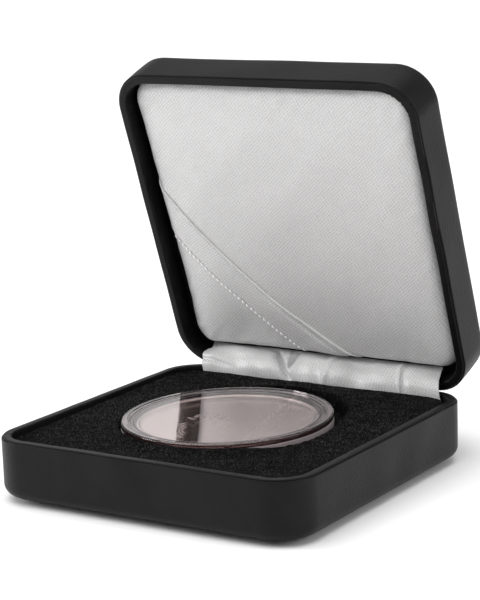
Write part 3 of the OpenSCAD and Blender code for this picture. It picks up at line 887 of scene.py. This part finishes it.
def hinge_strip():
    """The cloth rises behind the velour, bows over the hinge and runs on under the pad's lower edge."""
    low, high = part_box("hinge_strip")
    back_y, front_y = high.y, low.y
    knots = np.array([
        [front_y + 0.1 * MM, low.z],
        [front_y, low.z + 2.2 * MM],
        [front_y + 0.4 * MM, RIM_Z + 1.2 * MM],
        [front_y + 1.5 * MM, RIM_Z + 2.7 * MM],
        [front_y + 3.0 * MM, RIM_Z + 3.8 * MM],
        [front_y + 4.6 * MM, RIM_Z + 4.3 * MM],
        [back_y, high.z],
    ])
    length = np.concatenate([[0], np.cumsum(np.linalg.norm(np.diff(knots, axis=0), axis=1))])
    vs = np.linspace(0, 1, 56)
    path = np.column_stack([np.interp(vs * length[-1], length, knots[:, k]) for k in (0, 1)])
    for _ in range(8):
        path[1:-1] = (path[:-2] + 2 * path[1:-1] + path[2:]) / 4
    tangent = np.gradient(path, axis=0)
    tangent /= np.linalg.norm(tangent, axis=1, keepdims=True)
    normal = np.column_stack([-tangent[:, 1], tangent[:, 0]])
    us = np.linspace(low.x, high.x, 420)
    u, v = np.meshgrid(us, vs, indexing="ij")
    lift = strip_folds(u, v)
    share = (u - low.x) / (high.x - low.x)
    ends = (1 - share) * (2.7 - 3.4 * v) - share * 3.0 * v
    rounding = 2.2 * (1 - np.sqrt(1 - np.clip((v - 0.48) / 0.3, 0, 0.98) ** 2))
    across = u + (ends + rounding * np.maximum(1 - share / 0.08, 0)) * MM
    risen = path[None] + normal[None] * lift[..., None]
    grid = np.concatenate([across[..., None], risen], -1)
    points, faces = sheet_mesh(grid[:, ::-1], STRIP_T)
    obj = add_piece("hinge_cloth", points, faces, SATIN)
    uv = np.stack([u, v * length[-1]], -1)[:, ::-1].reshape(-1, 2)
    set_uv(obj, np.concatenate([uv, uv]))
    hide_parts("hinge_strip")
    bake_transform(obj)


def strip_folds(u, v):
    """Creases where the cloth is gathered: place along the strip, lean, rise, width and height range."""
    folds = [
        (-9.6, -1.6, -1.3, 0.75, 0.25, 0.8),
        (-7.6, 1.4, -0.7, 0.6, 0.5, 0.85),
        (-8.4, -0.2, 0.5, 0.9, 0.6, 0.9),
        (-12.2, -1.6, 0.35, 1.6, 0.2, 0.8),
        (3.0, 1.5, 0.5, 1.0, 0.2, 0.9),
        (6.3, 0.8, 0.5, 3.0, 0.2, 0.9),
        (10.5, 1.0, -0.4, 2.4, 0.15, 0.6),
        (17.0, -1.0, 0.35, 3.0, 0.3, 0.8),
        (23.0, 0.2, 0.45, 0.5, 0.2, 0.8),
        (24.4, 0.2, -0.25, 0.8, 0.2, 0.8),
        (-20.0, -0.8, 0.25, 4.0, 0.3, 0.8),
    ]
    lift = random_waves(np.stack([u, v * 6 * MM], -1), 8 * MM, 51) * 0.16
    for x, lean, rise, width, low, high in folds:
        reach = smooth_step(v, low - 0.2, low) * (1 - smooth_step(v, high, high + 0.2))
        lift = lift + rise * reach * np.exp(-((u / MM - x - lean * (v - 0.45) * 3) / width) ** 2)
    tuck = np.exp(-((v - 0.36 - 0.05 * np.sin(u / (3 * MM))) / 0.05) ** 2) * smooth_step(-u, 22 * MM, 30 * MM)
    swag = 0.5 * np.sin(u / (3.6 * MM) + 1.3) * smooth_step(v, 0.5, 0.7)
    return (lift - 0.5 * tuck + swag) * MM * np.sin(math.pi * np.clip(v * 1.02, 0, 1)) ** 0.6


# ---------- capsule and coin ----------
CAPSULE_SEGMENTS = 192
BEVEL_STEPS = 3
BEVEL_SPARE = 0.04 * MM


def lathe_rings(profile):
    """Turns a profile of (radius, height) points about the capsule's axis."""
    angles = np.linspace(0, 2 * math.pi, CAPSULE_SEGMENTS, endpoint=False)
    ring = np.column_stack([np.cos(angles), np.sin(angles), np.zeros(CAPSULE_SEGMENTS)])
    return [ring * r + np.array([0, RECESS_Y, z]) for r, z in profile]


def rounded_corners(profile, radius):
    """Softens each corner of a profile with a small bevel; close-set points keep the flats flat."""
    p = np.array(profile)
    out = [tuple(p[0])]
    for a, b, c in zip(p, p[1:], p[2:]):
        ab, bc = b - a, c - b
        before, after = np.linalg.norm(ab), np.linalg.norm(bc)
        r = min(radius, before * 0.45, after * 0.45)
        start, end = b - ab / before * r, b + bc / after * r
        if before > 2 * (r + BEVEL_SPARE):
            out.append(tuple(start - ab / before * BEVEL_SPARE))
        for t in np.linspace(0, 1, BEVEL_STEPS + 1):
            out.append(tuple((1 - t) ** 2 * start + 2 * t * (1 - t) * b + t ** 2 * end))
        if after > 2 * (r + BEVEL_SPARE):
            out.append(tuple(end + bc / after * BEVEL_SPARE))
    return out + [tuple(p[-1])]


def finish_faces(obj, material, chosen):
    """Gives the faces that chosen(normal_z, radius) picks a finish of their own."""
    obj.data.materials.append(material)
    for face in obj.data.polygons:
        x, y, _ = face.center
        if chosen(face.normal.z, math.hypot(x, y - RECESS_Y)):
            face.material_index = len(obj.data.materials) - 1


def capsule_half(name, profile, bevel, body, node):
    """One half of the capsule, lathed from its profile and shown in place of its node."""
    rings = lathe_rings(rounded_corners(profile, bevel))
    obj = add_piece(name, settle(rings), stack(rings, cap_first=True, cap_last=True),
                    ACRYLIC, body)
    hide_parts(node)
    return obj


def capsule_halves():
    """A lower half with a well for the coin and a ledge, and a cover with a skirt and a raised rim."""
    low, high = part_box("capsule_base")
    skirt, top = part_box("capsule_cover")[0].z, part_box("capsule_cover")[1].z
    coin_low, coin_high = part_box("coin")
    radius, part = (high.x - low.x) / 2, high.z
    coin_radius = (coin_high.x - coin_low.x) / 2
    axis = 0.5 * MM
    chamfer = 0.3 * MM

    floor, ledge = coin_low.z - 0.1 * MM, part - 1.6 * MM
    wall, well = radius - 1.6 * MM, coin_radius + 0.15 * MM
    lower = [(axis, low.z), (radius - chamfer, low.z), (radius, low.z + chamfer), (radius, part),
             (wall, part), (wall, ledge), (well, ledge), (well, floor), (axis, floor)]
    obj = capsule_half("capsule_lower_half", lower, 0.12 * MM, "capsule_tray", "capsule_base")
    finish_faces(obj, FROSTED, lambda up, r: up > 0.9 and r > coin_radius or r > radius - 0.06 * MM)

    under = part + 0.1 * MM
    plate = under + 0.3 * MM
    inside, outside = coin_radius + 0.4 * MM, radius - 1.7 * MM
    step, sunk = top - 0.15 * MM, top - 0.22 * MM
    upper = [(axis, plate), (inside, plate), (inside, skirt), (outside, skirt), (outside, under),
             (radius, under), (radius, top - chamfer), (radius - chamfer, top), (radius - 1.3 * MM, top),
             (radius - 1.5 * MM, step), (coin_radius + 1.2 * MM, step), (coin_radius + 1.0 * MM, sunk),
             (axis, sunk)]
    obj = capsule_half("capsule_upper_half", upper, 0.1 * MM, "capsule_top", "capsule_cover")
    # The cover's outer wall gets the dark tint: painted shade
    finish_faces(obj, PAINTED_SHADE_WALL, lambda up, r: r > radius - 0.04 * MM and abs(up) < 0.8)


def coin_relief(x, y):
    """Height of the coin's design: nested arcs near its lower edge and a leafy sprig, on a plain field."""
    height = np.zeros_like(x)
    lean = math.radians(32)
    ax, ay = x + 3.5 * MM, y + 10.9 * MM
    across, along = ax * math.cos(lean) + ay * math.sin(lean), ay * math.cos(lean) - ax * math.sin(lean)
    rr = np.hypot(across, along / 2.6)
    for ring, wide in ((0.95 * MM, 0.16 * MM), (1.6 * MM, 0.18 * MM), (2.25 * MM, 0.2 * MM)):
        taper = smooth_step(-across / ring, -0.2, 0.6)
        band = np.clip(1 - np.abs(rr - ring) / (wide * (0.3 + 0.7 * taper)), 0, 1)
        height = np.maximum(height, 0.10 * MM * np.sqrt(band) * taper)
    for k in range(9):
        stem = (-8.6 + 1.1 * k) * MM, (-2.4 + 0.9 * k - 0.09 * k * k) * MM
        turn = math.radians(100 if k % 2 else -25)
        lx, ly = x - stem[0], y - stem[1]
        px = lx * math.cos(turn) + ly * math.sin(turn) - 1.0 * MM
        py = ly * math.cos(turn) - lx * math.sin(turn)
        leaf = np.clip(1 - (px / (1.4 * MM)) ** 2 - (py / (0.45 * MM)) ** 2, 0, 1)
        height = np.maximum(height, 0.10 * MM * np.sqrt(leaf))
    return height


def coin_disc():
    """Plain underside, reeded edge, raised rim and the design on the upper face."""
    low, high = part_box("coin")
    radius = (high.x - low.x) / 2
    segments = 576
    angles = np.linspace(0, 2 * math.pi, segments, endpoint=False)
    reeds, reed_depth = 180, 0.08 * MM
    tooth = 0.5 + 0.5 * np.cos(angles * reeds)
    field, rim = 0.25 * MM, 1.0 * MM
    rings, frost = [], []

    def add(r, z, depth=0.0, frosted=None):
        rr = r - depth * tooth
        z = np.broadcast_to(z, segments)
        rings.append(np.column_stack([rr * np.cos(angles), RECESS_Y + rr * np.sin(angles), z]))
        frost.append(np.zeros(segments) if frosted is None else frosted)

    radii = np.linspace(0.03, 1, 90) * (radius - rim)
    for r in radii:
        add(r, low.z + field)
    add(radius - rim + 0.12 * MM, low.z + 0.02 * MM)
    add(radius - 0.2 * MM, low.z)
    add(radius, low.z + 0.2 * MM)
    add(radius, low.z + 0.3 * MM, reed_depth)
    add(radius, high.z - 0.3 * MM, reed_depth)
    add(radius, high.z - 0.2 * MM)
    add(radius - 0.2 * MM, high.z)
    add(radius - rim + 0.12 * MM, high.z - 0.02 * MM)
    for r in reversed(radii):
        x, y = r * np.cos(angles), r * np.sin(angles)
        relief = coin_relief(x, y)
        add(r, high.z - field + relief, frosted=np.clip(relief / (0.08 * MM), 0, 1))
    obj = add_piece("coin_piece", settle(rings), stack(rings, cap_first=True, cap_last=True),
                    SILVER, "coin_disc")
    layer = obj.data.attributes.new("frost", "FLOAT", "POINT")
    layer.data.foreach_set("value", np.concatenate(frost).astype(np.float32))
    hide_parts("coin")


finish_cad_nodes()
bow_spring()
photo_camera()
studio()
base_covering()
lid_covering()
velour_insert()
pad_cushion()
certificate_band()
hinge_strip()
capsule_halves()
coin_disc()
